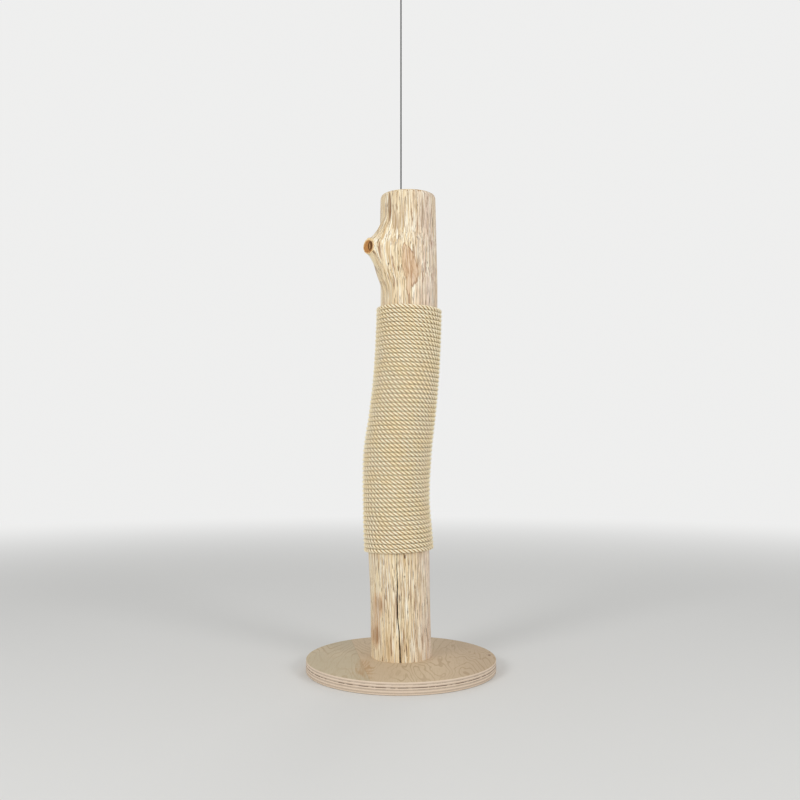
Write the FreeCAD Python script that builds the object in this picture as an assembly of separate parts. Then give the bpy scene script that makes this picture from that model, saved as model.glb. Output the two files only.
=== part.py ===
import FreeCAD, Part
import math
import os

from FreeCAD import Vector

# Cat scratching post: a debarked log on a round plywood base, wound with sisal rope and steadied by a
# thin steel cable that runs up to a ceiling hook. Millimetres, +Z up, the origin at the middle of the
# underside of the base, -Y towards the front.

# Plywood base
base_diameter = 400.0
base_thickness = 25.0
base_edge_round = 1.5

# Log, sawn level at both ends
log_length = 993.0
log_setback = 10.0
log_edge_chamfer = 1.0
log_level_count = 31
# share of the log's length above the base, sideways bend, radius
log_stations = (
    (0.000, 0.5, 64.8),
    (0.117, -1.9, 63.7),
    (0.235, -5.1, 65.6),
    (0.332, -10.3, 63.2),
    (0.440, -7.4, 65.3),
    (0.505, 1.3, 64.0),
    (0.604, 11.5, 62.8),
    (0.748, 17.5, 62.2),
    (0.926, 15.6, 61.8),
    (1.000, 15.4, 60.8),
)

# Stub of a sawn-off branch, turned to the left of the front; its height is over the base
branch_turn = 56.0
branch_height = 864.0
# reach from the log's axis, rise above branch_height, half height, half width
branch_sections = (
    (45.0, -12.0, 100.0, 45.0),
    (64.0, -5.0, 74.0, 33.0),
    (76.0, 3.0, 45.0, 24.0),
    (88.0, 5.0, 27.0, 18.0),
    (97.0, 6.0, 17.0, 16.0),
    (125.0, 7.0, 14.0, 14.0),
)
# where the saw cut meets the branch's axis, and how far left of the front it faces
branch_cut_reach = 100.0
branch_cut_turn = 44.0
branch_cut_radius = 40.0

# Drying crack up the front of the log, from the foot to under the rope
crack_height = 262.0
crack_depth = 14.0
crack_width_foot = 2.6
crack_width_head = 0.9
crack_offset_foot = -1.5
crack_offset_head = -2.5

# Sisal rope: one winding, kept as three lengths that butt at the back of the log
rope_start_height = 223.0
rope_pitch = 9.47
rope_turn_counts = {"rope_lower": 18, "rope_middle": 19, "rope_upper": 18}
rope_turn_gap = 0.6
rope_seat_clearance = 0.3
rope_tilt_start = 0.7
rope_tilt_end = -4.2
rope_stops_per_turn = 2

# Nails through the ends of the rope lengths
nail_diameter = 2.2
nail_length = 34.0
nail_head_diameter = 6.0
nail_head_thickness = 1.0
nail_head_clearance = 0.1

# Hexagon lag bolt and its washer, up through the base into the log
bolt_diameter = 10.0
bolt_length = 90.0
bolt_tip_length = 9.0
bolt_head_across_flats = 17.0
bolt_head_thickness = 6.4
washer_diameter = 28.0
washer_thickness = 2.0
counterbore_depth = 11.0
counterbore_clearance = 1.5

# Countersunk screws round the bolt, against twisting
screw_count = 3
screw_circle_diameter = 84.0
screw_diameter = 6.0
screw_length = 70.0
screw_tip_length = 8.0
screw_head_diameter = 12.0
screw_head_recess = 1.0

# Round plate on the sawn top that holds the cable's stop
anchor_diameter = 38.0
anchor_thickness = 3.0
anchor_screw_count = 3
anchor_screw_circle = 26.0
anchor_screw_diameter = 3.5
anchor_screw_length = 20.0
anchor_screw_tip_length = 4.0
anchor_screw_head = 7.0
anchor_edge_round = 0.6

# Steel cable, its crimped stop at the log and its eye at the ceiling
cable_diameter = 3.0
cable_length = 457.0
cable_hole_clearance = 0.2
stop_diameter = 8.0
stop_length = 16.0
stop_edge_round = 1.0
stop_pocket_clearance = 0.5
stop_pocket_spare = 1.0
terminal_diameter = 6.5
terminal_length = 30.0
terminal_taper = 5.0
terminal_mouth_wall = 1.0
eye_diameter = 21.0
eye_hole_diameter = 9.0
eye_thickness = 6.0
eye_edge_round = 1.0

# Ceiling hook and its plate
hook_wire = 6.0
hook_bowl_radius = 11.0
hook_neck_radius = 8.0
hook_opening_angle = 30.0
hook_shank_length = 6.0
hook_eye_clearance = 0.2
collar_diameter = 15.0
collar_thickness = 2.5
rose_diameter = 62.0
rose_thickness = 4.0
rose_edge_round = 1.5
rose_hole_count = 3
rose_hole_circle = 44.0
rose_hole_diameter = 5.4
rose_hole_head = 10.4

# Clearance round a shank in its hole
shank_clearance = 0.1

# Points on each arc of the rope where its gap is measured
gap_point_count = 18

UP = Vector(0, 0, 1)
DOWN = Vector(0, 0, -1)
SIDEWAYS = Vector(1, 0, 0)

log_top = base_thickness + log_length
rope_diameter = rope_pitch - rope_turn_gap
rope_turn_total = sum(rope_turn_counts.values())
rope_start = base_thickness + rope_start_height
cable_end = log_top + cable_length
eye_height = cable_end + terminal_length + eye_diameter / 2 - eye_edge_round
hook_inner_radius = hook_bowl_radius - hook_wire / 2
hook_rise_in_eye = hook_inner_radius - math.sqrt(hook_inner_radius ** 2 - (eye_thickness / 2) ** 2)
hook_bottom = eye_height + (eye_hole_diameter - hook_wire) / 2 - hook_rise_in_eye - hook_eye_clearance
hook_centre = hook_bottom + hook_bowl_radius


def log_station(share):
    """Sideways bend and radius of the log at a share of its length, on a smooth curve."""
    last = len(log_stations) - 1
    upper = 1
    while upper < last and share > log_stations[upper][0]:
        upper += 1
    before = log_stations[max(upper - 2, 0)]
    low = log_stations[upper - 1]
    high = log_stations[upper]
    after = log_stations[min(upper + 1, last)]
    span = high[0] - low[0]
    u = (share - low[0]) / span
    values = []
    for k in (1, 2):
        slope_low = (high[k] - before[k]) / (high[0] - before[0]) * span
        slope_high = (after[k] - low[k]) / (after[0] - low[0]) * span
        rise = high[k] - low[k]
        curve = slope_low * u * (1 - u) ** 2 - slope_high * u ** 2 * (1 - u)
        values.append(low[k] + rise * u * u * (3 - 2 * u) + curve)
    return values


def log_section(z):
    """Axis point and radius of the log at height z."""
    bend, radius = log_station((z - base_thickness) / log_length)
    return Vector(bend, log_setback, z), radius


def circle_wire(centre, axis, radius):
    return Part.Wire([Part.Circle(centre, axis, radius).toShape()])


def turned(profile):
    """Solid turned about the Z axis from (radius, height) points."""
    points = [Vector(r, 0, z) for r, z in profile]
    face = Part.Face(Part.makePolygon(points + points[:1]))
    return face.revolve(Vector(0, 0, 0), UP, 360)


def around(count, diameter, centre, start_angle):
    """Points evenly spaced on a circle."""
    places = []
    for i in range(count):
        angle = math.radians(start_angle + 360.0 * i / count)
        places.append(centre + Vector(math.cos(angle), math.sin(angle), 0) * (diameter / 2))
    return places


def moved(shape, place):
    copy = shape.copy()
    copy.translate(place)
    return copy


def countersunk_screw(diameter, head, length, tip):
    """Wood screw with its head flat down at z=0 and its tip up."""
    cone = (head - diameter) / 2
    return turned([
        (0, 0),
        (head / 2, 0),
        (head / 2 - cone, cone),
        (diameter / 2, length - tip),
        (0, length),
    ])


def countersunk_hole(diameter, head, recess, depth):
    """Space for a countersunk screw whose head sits `recess` inside the face at z=0."""
    cone = (head - diameter) / 2
    bore = diameter / 2 + shank_clearance
    return turned([
        (0, 0),
        (head / 2, 0),
        (head / 2, recess),
        (bore, recess + cone - shank_clearance),
        (bore, depth),
        (0, depth),
    ])


def foot_middle():
    """Middle of the log's foot, on the underside of the base."""
    centre, radius = log_section(base_thickness)
    return Vector(centre.x, centre.y, 0)


def screw_places():
    return around(screw_count, screw_circle_diameter, foot_middle(), 90)


def rims(shape, z):
    """Round edges of a shape at height z."""
    return [e for e in shape.Edges if e.BoundBox.ZLength < 1e-3 and abs(e.CenterOfMass.z - z) < 1e-3]


def make_base_plate():
    plate = Part.makeCylinder(base_diameter / 2, base_thickness)
    plate = plate.makeFillet(base_edge_round, rims(plate, 0) + rims(plate, base_thickness))
    bore = Part.makeCylinder(bolt_diameter / 2 + shank_clearance, base_thickness, foot_middle())
    recess = Part.makeCylinder(washer_diameter / 2 + counterbore_clearance, counterbore_depth, foot_middle())
    plate = plate.cut(bore.fuse(recess))
    hole = countersunk_hole(screw_diameter, screw_head_diameter, screw_head_recess, base_thickness)
    return plate.cut([moved(hole, place) for place in screw_places()])


def make_log_body():
    sections = []
    for i in range(log_level_count):
        z = base_thickness + log_length * i / (log_level_count - 1)
        centre, radius = log_section(z)
        sections.append(circle_wire(centre, UP, radius))
    body = Part.makeLoft(sections, True, False)
    return body.makeChamfer(log_edge_chamfer, rims(body, log_top))


def heading(turn):
    """Level direction turned to the left of the front."""
    angle = math.radians(turn)
    return Vector(-math.sin(angle), -math.cos(angle), 0)


def make_branch():
    """Collar of the branch: ellipses that shrink outwards from inside the log, sawn off upright."""
    outward = heading(branch_turn)
    across = UP.cross(outward)
    centre, radius = log_section(base_thickness + branch_height)
    rings = []
    for reach, rise, half_height, half_width in branch_sections:
        middle = centre + outward * reach + UP * rise
        ellipse = Part.Ellipse(middle + UP * half_height, middle + across * half_width, middle)
        rings.append(Part.Wire([ellipse.toShape()]))
    collar = Part.makeLoft(rings, True, True)
    cut_centre = centre + outward * branch_cut_reach
    waste = Part.makeCylinder(branch_cut_radius, branch_sections[-1][0], cut_centre, heading(branch_cut_turn))
    return collar.cut(waste)


def make_crack():
    """Narrow wedge, wide at the foot and closing towards its head, cut in from the front."""
    foot, foot_radius = log_section(base_thickness)
    head, head_radius = log_section(base_thickness + crack_height)
    foot_x = foot.x + crack_offset_foot
    head_x = head.x + crack_offset_head
    front = foot.y - max(foot_radius, head_radius) - crack_depth
    outline = [
        Vector(foot_x - crack_width_foot / 2, front, foot.z),
        Vector(foot_x + crack_width_foot / 2, front, foot.z),
        Vector(head_x + crack_width_head / 2, front, head.z),
        Vector(head_x - crack_width_head / 2, front, head.z),
    ]
    return Part.Face(Part.makePolygon(outline + outline[:1])).extrude(Vector(0, 2 * crack_depth, 0))


def make_trunk():
    trunk = make_log_body().fuse(make_branch()).cut(make_crack())
    bolt_top = counterbore_depth - washer_thickness + bolt_length
    holes = [Part.makeCylinder(bolt_diameter / 2 + shank_clearance, bolt_top, foot_middle())]
    for place in screw_places():
        reach = screw_head_recess + screw_length
        holes.append(Part.makeCylinder(screw_diameter / 2 + shank_clearance, reach, place))
    pocket_radius = stop_diameter / 2 + stop_pocket_clearance
    pocket_depth = stop_length + stop_pocket_spare
    holes.append(Part.makeCylinder(pocket_radius, pocket_depth, Vector(0, 0, log_top), DOWN))
    for place in anchor_screw_places():
        bore = anchor_screw_diameter / 2 + shank_clearance
        holes.append(Part.makeCylinder(bore, anchor_screw_length, place, DOWN))
    for seat in all_nail_seats():
        holes.append(nail_hole(seat))
    return trunk.cut(holes)


def make_centre_bolt():
    """Hexagon lag bolt, head down in the counterbore."""
    seat = counterbore_depth - washer_thickness
    corner = bolt_head_across_flats / math.sqrt(3)
    corners = [Vector(corner * math.cos(math.radians(60 * i)), corner * math.sin(math.radians(60 * i)), 0)
               for i in range(7)]
    head = Part.Face(Part.makePolygon(corners)).extrude(UP * bolt_head_thickness)
    shank = turned([
        (0, 0),
        (bolt_diameter / 2, 0),
        (bolt_diameter / 2, bolt_length - bolt_tip_length),
        (0, bolt_length),
    ])
    bolt = moved(head, DOWN * bolt_head_thickness).fuse(shank)
    return moved(bolt.removeSplitter(), foot_middle() + UP * seat)


def make_centre_washer():
    place = foot_middle() + UP * (counterbore_depth - washer_thickness)
    washer = Part.makeCylinder(washer_diameter / 2, washer_thickness, place)
    return washer.cut(Part.makeCylinder(bolt_diameter / 2 + shank_clearance, washer_thickness, place))


def make_base_screws():
    screw = countersunk_screw(screw_diameter, screw_head_diameter, screw_length, screw_tip_length)
    return Part.Compound([moved(screw, place + UP * screw_head_recess) for place in screw_places()])


def rope_tilt(z):
    """Slope of a turn from level, sideways, which swings over from the first turn to the last."""
    share = (z - rope_start) / (rope_pitch * rope_turn_total)
    angle = rope_tilt_start + (rope_tilt_end - rope_tilt_start) * share
    return math.tan(math.radians(angle))


def rope_point(turn):
    """Point of the rope's centre line after a number of turns, starting at the back of the log."""
    angle = math.radians(90 + 360 * turn)
    level = rope_start + rope_pitch * turn
    centre, radius = log_section(level)
    z = level + rope_tilt(level) * radius * math.cos(angle)
    centre, radius = log_section(z)
    reach = radius + rope_seat_clearance + rope_diameter / 2
    return centre + Vector(math.cos(angle), math.sin(angle), 0) * reach


def rope_direction(turn):
    step = 1e-4
    return (rope_point(turn + step) - rope_point(turn - step)).normalize()


def arc_between(start, corner, end):
    """Arc tangent to both sides of a corner whose sides are equal."""
    chord_middle = (start + end) * 0.5
    bulge = corner - chord_middle
    half_chord = (end - start).Length / 2
    rise = half_chord * math.tan(math.atan2(bulge.Length, half_chord) / 2)
    return Part.Arc(start, chord_middle + bulge.normalize() * rise, end)


def biarc(start, start_direction, end, end_direction):
    """Two arcs that leave and arrive in the given directions and meet without a kink."""
    across = end - start
    both = start_direction + end_direction
    a = 2 * (start_direction.dot(end_direction) - 1)
    b = -2 * across.dot(both)
    c = across.dot(across)
    side = (-b - math.sqrt(b * b - 4 * a * c)) / (2 * a)
    first_corner = start + start_direction * side
    second_corner = end - end_direction * side
    joint = (first_corner + second_corner) * 0.5
    return [arc_between(start, first_corner, joint), arc_between(joint, second_corner, end)]


def rope_path(first_turn, last_turn):
    """Straight run of one rope diameter, a biarc to each stop on the turns, and a straight run."""
    start = rope_point(first_turn)
    end = rope_point(last_turn)
    start_direction = rope_direction(first_turn)
    end_direction = rope_direction(last_turn)
    stops = [(start + start_direction * rope_diameter, start_direction)]
    for stop in range(rope_stops_per_turn * first_turn + 1, rope_stops_per_turn * last_turn):
        turn = stop / rope_stops_per_turn
        stops.append((rope_point(turn), rope_direction(turn)))
    stops.append((end - end_direction * rope_diameter, end_direction))
    curves = [Part.LineSegment(start, stops[0][0])]
    for here, there in zip(stops, stops[1:]):
        curves += biarc(*here, *there)
    curves.append(Part.LineSegment(stops[-1][0], end))
    return curves


def least_gap(curves):
    """Least gap between neighbouring turns, measured on points of the rope's centre line."""
    points = []
    for curve in curves:
        points += curve.discretize(Number=gap_point_count + 1)[:-1]
    per_turn = 2 * rope_stops_per_turn * gap_point_count
    gaps = []
    for i, point in enumerate(points):
        for other in points[i + per_turn * 3 // 4:i + per_turn * 5 // 4]:
            gaps.append(point.distanceToPoint(other) - rope_diameter)
    return min(gaps)


def rope_lengths():
    """First and last turn of each length of the rope."""
    spans = {}
    turn = 0
    for name, count in rope_turn_counts.items():
        spans[name] = (turn, turn + count)
        turn += count
    return spans


def nail_seats(first_turn, last_turn):
    """Points in the middle of a rope length's two straight ends, with the direction out of the log."""
    seats = []
    for turn, way in ((first_turn, 1), (last_turn, -1)):
        point = rope_point(turn)
        centre, radius = log_section(point.z)
        outward = (point - centre).normalize()
        seats.append((point + rope_direction(turn) * (way * rope_diameter / 2), outward))
    return seats


def all_nail_seats():
    return [seat for span in rope_lengths().values() for seat in nail_seats(*span)]


def nail_hole(seat):
    point, outward = seat
    start = point + outward * rope_diameter
    return Part.makeCylinder(nail_diameter / 2 + shank_clearance, nail_length + rope_diameter, start, -outward)


def make_rope(first_turn, last_turn):
    curves = rope_path(first_turn, last_turn)
    spine = Part.Wire([curve.toShape() for curve in curves])
    section = circle_wire(rope_point(first_turn), rope_direction(first_turn), rope_diameter / 2)
    rope = spine.makePipeShell([section], True, False)
    section_area = math.pi * rope_diameter ** 2 / 4
    print("least gap between turns %.2f mm" % least_gap(curves))
    print("rope volume over section times length %.5f" % (rope.Volume / (section_area * spine.Length)))
    print("rope length %.0f mm" % spine.Length)
    return rope.cut([nail_hole(seat) for seat in nail_seats(first_turn, last_turn)])


def make_rope_nails():
    """Flat-headed nails through the rope into the log."""
    nails = []
    for point, outward in all_nail_seats():
        seat = point + outward * (rope_diameter / 2 + nail_head_clearance)
        shank = Part.makeCylinder(nail_diameter / 2, nail_length, seat, -outward)
        head = Part.makeCylinder(nail_head_diameter / 2, nail_head_thickness, seat, outward)
        nails.append(shank.fuse(head).removeSplitter())
    return Part.Compound(nails)


def anchor_screw_places():
    return around(anchor_screw_count, anchor_screw_circle, Vector(0, 0, log_top), 90)


def make_anchor_plate():
    plate = Part.makeCylinder(anchor_diameter / 2, anchor_thickness)
    plate = plate.makeFillet(anchor_edge_round, rims(plate, anchor_thickness))
    plate = plate.cut(Part.makeCylinder(cable_diameter / 2 + cable_hole_clearance, anchor_thickness))
    hole = countersunk_hole(anchor_screw_diameter, anchor_screw_head, 0, anchor_thickness)
    hole.rotate(Vector(0, 0, anchor_thickness / 2), SIDEWAYS, 180)
    plate = moved(plate, UP * log_top)
    return plate.cut([moved(hole, place) for place in anchor_screw_places()])


def make_anchor_screws():
    screw = countersunk_screw(
        anchor_screw_diameter, anchor_screw_head, anchor_screw_length, anchor_screw_tip_length)
    screw.rotate(Vector(0, 0, 0), SIDEWAYS, 180)
    return Part.Compound([moved(screw, place + UP * anchor_thickness) for place in anchor_screw_places()])


def make_cable_stop():
    """Crimped sleeve on the cable's lower end, drawn up against the plate."""
    stop = Part.makeCylinder(stop_diameter / 2, stop_length, Vector(0, 0, log_top), DOWN)
    return stop.makeFillet(stop_edge_round, rims(stop, log_top - stop_length))


def make_ceiling_cable():
    spine = Part.Wire([Part.LineSegment(Vector(0, 0, log_top), Vector(0, 0, cable_end)).toShape()])
    section = circle_wire(Vector(0, 0, log_top), UP, cable_diameter / 2)
    return spine.makePipeShell([section], True, False)


def make_eye_terminal():
    """Swaged sleeve with a flat eye on top."""
    sleeve = moved(turned([
        (0, 0),
        (cable_diameter / 2 + terminal_mouth_wall, 0),
        (terminal_diameter / 2, terminal_taper),
        (terminal_diameter / 2, terminal_length),
        (0, terminal_length),
    ]), UP * cable_end)
    middle = Vector(-eye_thickness / 2, 0, eye_height)
    eye = Part.makeCylinder(eye_diameter / 2, eye_thickness, middle, SIDEWAYS)
    round_edges = [e for e in eye.Edges if e.BoundBox.XLength < 1e-3]
    eye = eye.makeFillet(eye_edge_round, round_edges)
    terminal = eye.fuse(sleeve)
    return terminal.cut(Part.makeCylinder(eye_hole_diameter / 2, eye_thickness, middle, SIDEWAYS))


def hook_neck_angle():
    """Angle on the bowl where the neck begins, so that the shank stands over the bowl."""
    return math.acos(hook_neck_radius / (hook_bowl_radius + hook_neck_radius))


def hook_shank_start():
    return hook_centre + (hook_bowl_radius + hook_neck_radius) * math.sin(hook_neck_angle())


def rose_underside():
    return hook_shank_start() + hook_shank_length + collar_thickness


def make_ceiling_hook():
    """Round wire hook with a collar and a threaded shank, all in the XZ plane."""
    neck = hook_neck_angle()
    opening = math.pi + math.radians(hook_opening_angle)

    def on_bowl(angle):
        return Vector(hook_bowl_radius * math.cos(angle), 0, hook_centre + hook_bowl_radius * math.sin(angle))

    neck_centre = on_bowl(neck) + Vector(math.cos(neck), 0, math.sin(neck)) * hook_neck_radius
    back = math.pi + neck / 2
    neck_middle = neck_centre + Vector(math.cos(back), 0, math.sin(back)) * hook_neck_radius
    shank_start = Vector(0, 0, hook_shank_start())
    shank_end = Vector(0, 0, rose_underside() + rose_thickness)
    tip = on_bowl(opening)
    bowl_bottom = on_bowl(1.5 * math.pi)
    bowl_side = on_bowl(0)
    curves = [
        Part.Arc(tip, on_bowl((opening + 1.5 * math.pi) / 2), bowl_bottom),
        Part.Arc(bowl_bottom, on_bowl(-math.pi / 4), bowl_side),
        Part.Arc(bowl_side, on_bowl(neck / 2), on_bowl(neck)),
        Part.Arc(on_bowl(neck), neck_middle, shank_start),
        Part.LineSegment(shank_start, shank_end),
    ]
    spine = Part.Wire([curve.toShape() for curve in curves])
    tip_direction = Vector(-math.sin(opening), 0, math.cos(opening))
    wire = spine.makePipeShell([circle_wire(tip, tip_direction, hook_wire / 2)], True, False)
    collar = Part.makeCylinder(collar_diameter / 2, collar_thickness,
                               Vector(0, 0, rose_underside() - collar_thickness))
    return wire.fuse([collar, Part.makeSphere(hook_wire / 2, tip)])


def make_ceiling_rose():
    """Round plate that is screwed to the ceiling, countersunk from below."""
    rose = Part.makeCylinder(rose_diameter / 2, rose_thickness)
    rose = rose.makeFillet(rose_edge_round, rims(rose, 0))
    rose = rose.cut(Part.makeCylinder(hook_wire / 2 + shank_clearance, rose_thickness))
    hole = countersunk_hole(rose_hole_diameter - 2 * shank_clearance, rose_hole_head, 0, rose_thickness)
    rose = rose.cut([moved(hole, place) for place in around(rose_hole_count, rose_hole_circle, Vector(), 90)])
    return moved(rose, UP * rose_underside())


def make_parts():
    parts = {
        "base_plate": make_base_plate(),
        "trunk": make_trunk(),
        "centre_bolt": make_centre_bolt(),
        "centre_washer": make_centre_washer(),
        "base_screws": make_base_screws(),
        "rope_nails": make_rope_nails(),
        "anchor_plate": make_anchor_plate(),
        "anchor_screws": make_anchor_screws(),
        "cable_stop": make_cable_stop(),
        "ceiling_cable": make_ceiling_cable(),
        "eye_terminal": make_eye_terminal(),
        "ceiling_hook": make_ceiling_hook(),
        "ceiling_rose": make_ceiling_rose(),
    }
    for name, span in rope_lengths().items():
        parts[name] = make_rope(*span)
    return parts


os.makedirs("parts", exist_ok=True)
for name, shape in make_parts().items():
    shape.exportStep("parts/%s.step" % name)
    print(name, "solids", len(shape.Solids), "valid", shape.isValid(), "volume %.0f" % shape.Volume)
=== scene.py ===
import math
import random
from contextlib import contextmanager

import bmesh
import bpy
from bpy.props import FloatProperty, FloatVectorProperty, IntProperty, PointerProperty
from bpy.types import Operator, Panel, PropertyGroup
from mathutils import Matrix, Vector, noise
from mathutils.bvhtree import BVHTree


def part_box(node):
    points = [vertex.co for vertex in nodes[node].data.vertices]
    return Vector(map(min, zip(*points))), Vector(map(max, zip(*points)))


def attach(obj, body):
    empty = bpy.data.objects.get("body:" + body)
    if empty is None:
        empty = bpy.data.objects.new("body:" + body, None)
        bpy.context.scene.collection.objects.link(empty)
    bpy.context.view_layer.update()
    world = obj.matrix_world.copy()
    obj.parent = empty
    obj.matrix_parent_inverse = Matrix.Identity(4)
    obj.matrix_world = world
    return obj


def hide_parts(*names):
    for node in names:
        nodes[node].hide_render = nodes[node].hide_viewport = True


bl_info = {
    "name": "Rope scratching post",
    "version": (1, 0, 0),
    "blender": (4, 5, 0),
    "location": "View3D > Sidebar > Scratching post",
    "description": "A debarked log on a round plywood base, wound with sisal rope and held by a steel cable",
    "category": "Add Mesh",
}

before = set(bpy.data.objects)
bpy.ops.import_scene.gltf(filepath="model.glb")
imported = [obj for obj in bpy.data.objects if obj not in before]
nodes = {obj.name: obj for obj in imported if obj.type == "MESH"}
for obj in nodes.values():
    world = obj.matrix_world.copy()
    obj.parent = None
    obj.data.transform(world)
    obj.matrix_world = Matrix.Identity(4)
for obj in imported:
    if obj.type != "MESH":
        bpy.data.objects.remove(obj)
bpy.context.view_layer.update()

UP = Vector((0, 0, 1))


def srgb(red, green, blue):
    """Linear colour of an 8-bit one."""
    return [((c / 255 + 0.055) / 1.055) ** 2.4 if c > 10 else c / 3294.6 for c in (red, green, blue)]


def size(name, text, value):
    return FloatProperty(name=name, description=text, default=value, subtype="DISTANCE", unit="LENGTH",
                         precision=4)


def angle(name, text, degrees):
    return FloatProperty(name=name, description=text, default=math.radians(degrees), subtype="ANGLE",
                         unit="ROTATION")


def number(name, text, value):
    return IntProperty(name=name, description=text, default=value)


def colour(name, text, value):
    return FloatVectorProperty(name=name, description="Colour of " + text, default=srgb(*value),
                               subtype="COLOR", min=0, max=1)


def turned(x, y, bearing):
    """A flat point turned about the origin."""
    return x * math.cos(bearing) - y * math.sin(bearing), x * math.sin(bearing) + y * math.cos(bearing)


# ---------------- places read from the frame

trunk_low, trunk_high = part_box("trunk")
base_low, base_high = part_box("base_plate")
cable_low, cable_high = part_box("ceiling_cable")

log_foot = trunk_low.z
log_top = trunk_high.z
base_radius = (base_high.x - base_low.x) / 2
base_thickness = base_high.z


def surface(node):
    """The faces of a CAD node, to find its surface by rays."""
    mesh = nodes[node].data
    return BVHTree.FromPolygons([v.co for v in mesh.vertices], [p.vertices for p in mesh.polygons])


trunk_surface = surface("trunk")


# ---------------- settings

class StageSettings(PropertyGroup):
    camera_distance: size("Camera distance", "From the middle of the base to the lens, forwards", 1.806)
    camera_height: size("Camera height", "Height of the lens over the floor", 0.4553)
    camera_side: size("Camera offset", "Sideways place of the lens", -0.0022)
    camera_tilt: angle("Camera tilt", "How far the lens looks up", 3.62)
    lens: FloatProperty(name="Lens", description="Focal length on a 36 mm wide sensor", default=37.71,
                        subtype="DISTANCE_CAMERA")
    floor_colour: colour("Floor", "the floor", (226, 226, 224))
    front_power: FloatProperty(name="Front lights", description="Power of each front light",
                               default=31, subtype="POWER", unit="POWER")
    ambient: FloatProperty(name="Ambient", description="Strength of the light from all round", default=0.55)


class CableSettings(PropertyGroup):
    diameter: size("Diameter", "Thickness of the steel cable", 0.003)
    lay: size("Lay", "Length of one twist of its strands", 0.019)
    strands: number("Strands", "Strands round the cable", 6)
    black: colour("Coating", "the coated strands", (24, 23, 24))
    worn: colour("Worn coating", "the coating where it is rubbed", (52, 50, 50))


class RopeSettings(PropertyGroup):
    start: size("Start", "Height at which the first turn begins, at the back", 0.248)
    pitch: size("Pitch", "Height of one turn on the log", 0.00947)
    diameter: size("Diameter", "Thickness of the sisal rope", 0.0097)
    lay: size("Lay", "Length of one twist of its three strands", 0.0285)
    seat: size("Seat", "Height of the rope's centre line over the wood", 0.00474)
    tilt_start: angle("First tilt", "Slope of the first turn, right side up", 0.7)
    tilt_end: angle("Last tilt", "Slope of the last turn, right side up", -4.2)
    straw: colour("Straw", "the fibres in the light", (255, 249, 225))
    warm: colour("Warm straw", "the yellower lengths", (255, 244, 211))
    dull: colour("Dull straw", "the darker fibres", (234, 206, 152))
    tuft: colour("Tufts", "the shaded tufts", (206, 172, 112))
    # painted shade: the flank, hollow and groove colours darken the strands' sides and the grooves between
    # them, where shade falls
    flank_shade: colour("Flank", "the sides of the strands", (236, 200, 134))
    hollow_shade: colour("Hollow", "the lower sides of the strands", (166, 120, 66))
    shadow: colour("Groove", "the grooves between the strands", (100, 64, 28))
    stray: colour("Stray fibre", "the darker loose fibres", (214, 196, 150))
    stray_pale: colour("Pale stray fibre", "the paler loose fibres", (240, 228, 196))
    stray_fibres: number("Stray fibres", "Loose fibres that stand off the rope", 420)


class LogSettings(PropertyGroup):
    columns: number("Columns", "Faces round the log", 230)
    row_splits: number("Row splits", "Rows up the log, squared", 18)
    ridges: size("Ridges", "Depth of the shallow ridges along the grain", 0.0006)
    rim: size("Rim", "How far the upper rim is worn round", 0.0024)
    branch_turn: angle("Branch side", "Angle from the front to the branch stub, leftwards", 56)
    cut_turn: angle("Cut side", "Angle from the front that the saw cut faces, leftwards", 44)
    branch_height: size("Branch height", "Height of the branch stub's axis", 0.889)
    branch_reach: size("Branch reach", "From the log's axis to the saw cut", 0.100)
    crack_depth: size("Crack depth", "Depth of the drying crack", 0.013)
    cream: colour("Cream", "the bare sapwood", (250, 234, 198))
    sand: colour("Sand", "the broad duller bands", (241, 221, 184))
    pale: colour("Pale grain", "the lightest grain", (255, 250, 232))
    tan: colour("Tan", "the darker grain", (206, 174, 128))
    # painted light: a pinkish tint for the cooler light that falls on the log's right side
    painted_side_light: colour("Painted side light", "the greyer, pinkish side", (242, 222, 206))
    brown: colour("Flecks", "the brown flecks", (122, 90, 60))
    patch: colour("Patch", "the bark scars", (208, 168, 130))
    knot: colour("Knot", "the branch's sawn face", (196, 138, 76))
    core: colour("Knot core", "the dark heart of the branch", (92, 54, 16))


class BaseSettings(PropertyGroup):
    edge_round: size("Edge", "How far the rims are eased", 0.0013)
    screw_circle: size("Screw circle", "Diameter of the circle of screws round the bolt", 0.084)
    plies: number("Plies", "Layers of the plywood", 9)
    veneer: colour("Veneer", "the top veneer", (203, 181, 151))
    grey: colour("Grey veneer", "the greyer strip of veneer", (193, 179, 152))
    figure: colour("Figure", "the veneer's darker figure", (160, 132, 98))
    scar: colour("Scar", "the brown mark in the veneer", (180, 142, 98))
    ply: colour("Ply", "the light plies at the edge", (230, 212, 192))
    end_ply: colour("End grain ply", "the darker plies at the edge", (204, 185, 166))
    glue: colour("Glue line", "the dark lines between plies", (132, 106, 84))


class MetalSettings(PropertyGroup):
    zinc: colour("Zinc", "the zinc-plated steel", (160, 162, 164))
    steel: colour("Steel", "the bright steel", (158, 158, 160))
    nail: colour("Nail steel", "the bare nails", (120, 118, 116))
    aluminium: colour("Aluminium", "the crimped sleeve", (178, 179, 181))


# ---------------- modelling helpers

def deselect_all():
    if bpy.context.object and bpy.context.object.mode != "OBJECT":
        bpy.ops.object.mode_set(mode="OBJECT")
    bpy.ops.object.select_all(action="DESELECT")


def make_active(piece):
    deselect_all()
    piece.select_set(True)
    bpy.context.view_layer.objects.active = piece


def settle(piece):
    """Puts a piece's place into its mesh."""
    make_active(piece)
    bpy.ops.object.transform_apply(location=True, rotation=True, scale=True)


@contextmanager
def editing(piece):
    """Edit mode for one piece, at first with all of its mesh selected."""
    make_active(piece)
    bpy.ops.object.mode_set(mode="EDIT")
    bpy.ops.mesh.select_all(action="SELECT")
    yield
    bpy.ops.object.mode_set(mode="OBJECT")


def turn_outwards():
    """In edit mode, makes all faces look outwards."""
    bpy.ops.mesh.select_all(action="SELECT")
    bpy.ops.mesh.normals_make_consistent(inside=False)


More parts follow.
